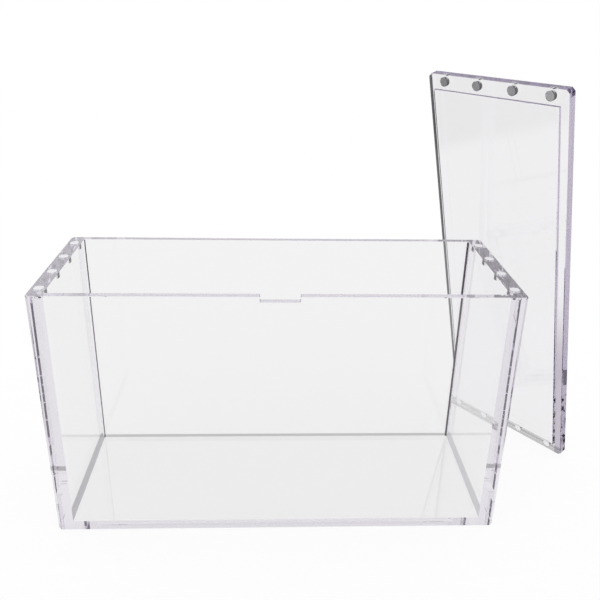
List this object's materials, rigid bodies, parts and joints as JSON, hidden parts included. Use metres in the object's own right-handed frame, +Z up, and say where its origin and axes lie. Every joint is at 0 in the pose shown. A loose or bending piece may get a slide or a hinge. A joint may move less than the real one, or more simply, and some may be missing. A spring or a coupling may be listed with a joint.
{
  "type": "acrylic storage box with lid",
  "caption": "Long clear acrylic box with thick side walls, a finger notch in the front rim and a flat lift-off lid held by disc magnets; the lid stands beside the box and leans on it.",
  "frame": {"origin": "centre of the box's underside, on the surface it stands on", "axes": "+X to the right along the box's long side, +Y from the notched front wall to the back wall, +Z up"},
  "size_m": [0.4708, 0.211, 0.3578],
  "materials": {
    "clear_acrylic": "clear, polished",
    "magnet": "nickel plated, satin bright"
  },
  "bodies": {
    "box": {"base_panel": "clear_acrylic", "front_panel": "clear_acrylic", "back_panel": "clear_acrylic", "left_side_panel": "clear_acrylic", "right_side_panel": "clear_acrylic", "box_magnet_left_1": "magnet", "box_magnet_left_2": "magnet", "box_magnet_left_3": "magnet", "box_magnet_left_4": "magnet", "box_magnet_right_1": "magnet", "box_magnet_right_2": "magnet", "box_magnet_right_3": "magnet", "box_magnet_right_4": "magnet"},
    "lid": {"lid_plate": "clear_acrylic", "lid_locating_plate": "clear_acrylic", "lid_magnet_left_1": "magnet", "lid_magnet_left_2": "magnet", "lid_magnet_left_3": "magnet", "lid_magnet_left_4": "magnet", "lid_magnet_right_1": "magnet", "lid_magnet_right_2": "magnet", "lid_magnet_right_3": "magnet", "lid_magnet_right_4": "magnet"}
  },
  "joints": [
    {"name": "lid_lift", "type": "slide", "parent": "box", "child": "lid", "axis": [0, 0, 1], "range_m": [0, 0.25]}
  ]
}
